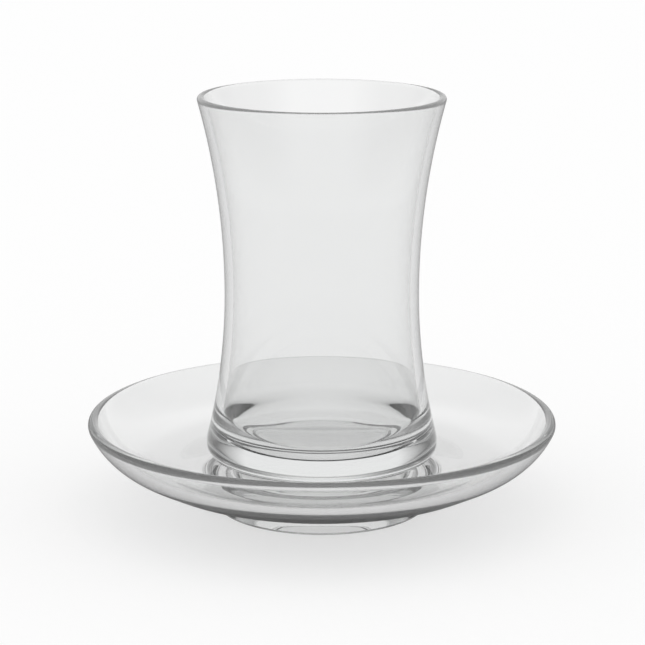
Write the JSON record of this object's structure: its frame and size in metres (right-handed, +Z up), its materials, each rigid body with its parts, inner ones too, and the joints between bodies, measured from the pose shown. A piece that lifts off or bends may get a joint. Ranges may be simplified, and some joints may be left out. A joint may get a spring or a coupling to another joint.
{
  "type": "tea glass with saucer",
  "caption": "Waisted clear tea glass with a thick base, standing empty in a round clear-glass saucer with an upturned brim and a foot ring.",
  "frame": {"origin": "centre of the saucer's foot ring, on the surface it stands on", "axes": "+Z up along the axis of both pieces; they are round, so +X and +Y are any two level directions"},
  "size_m": [0.11, 0.11, 0.0974],
  "materials": {
    "clear_glass": "polished, colourless, fire-polished lips"
  },
  "bodies": {
    "root": {"glass": "clear_glass", "saucer": "clear_glass"}
  },
  "joints": []
}
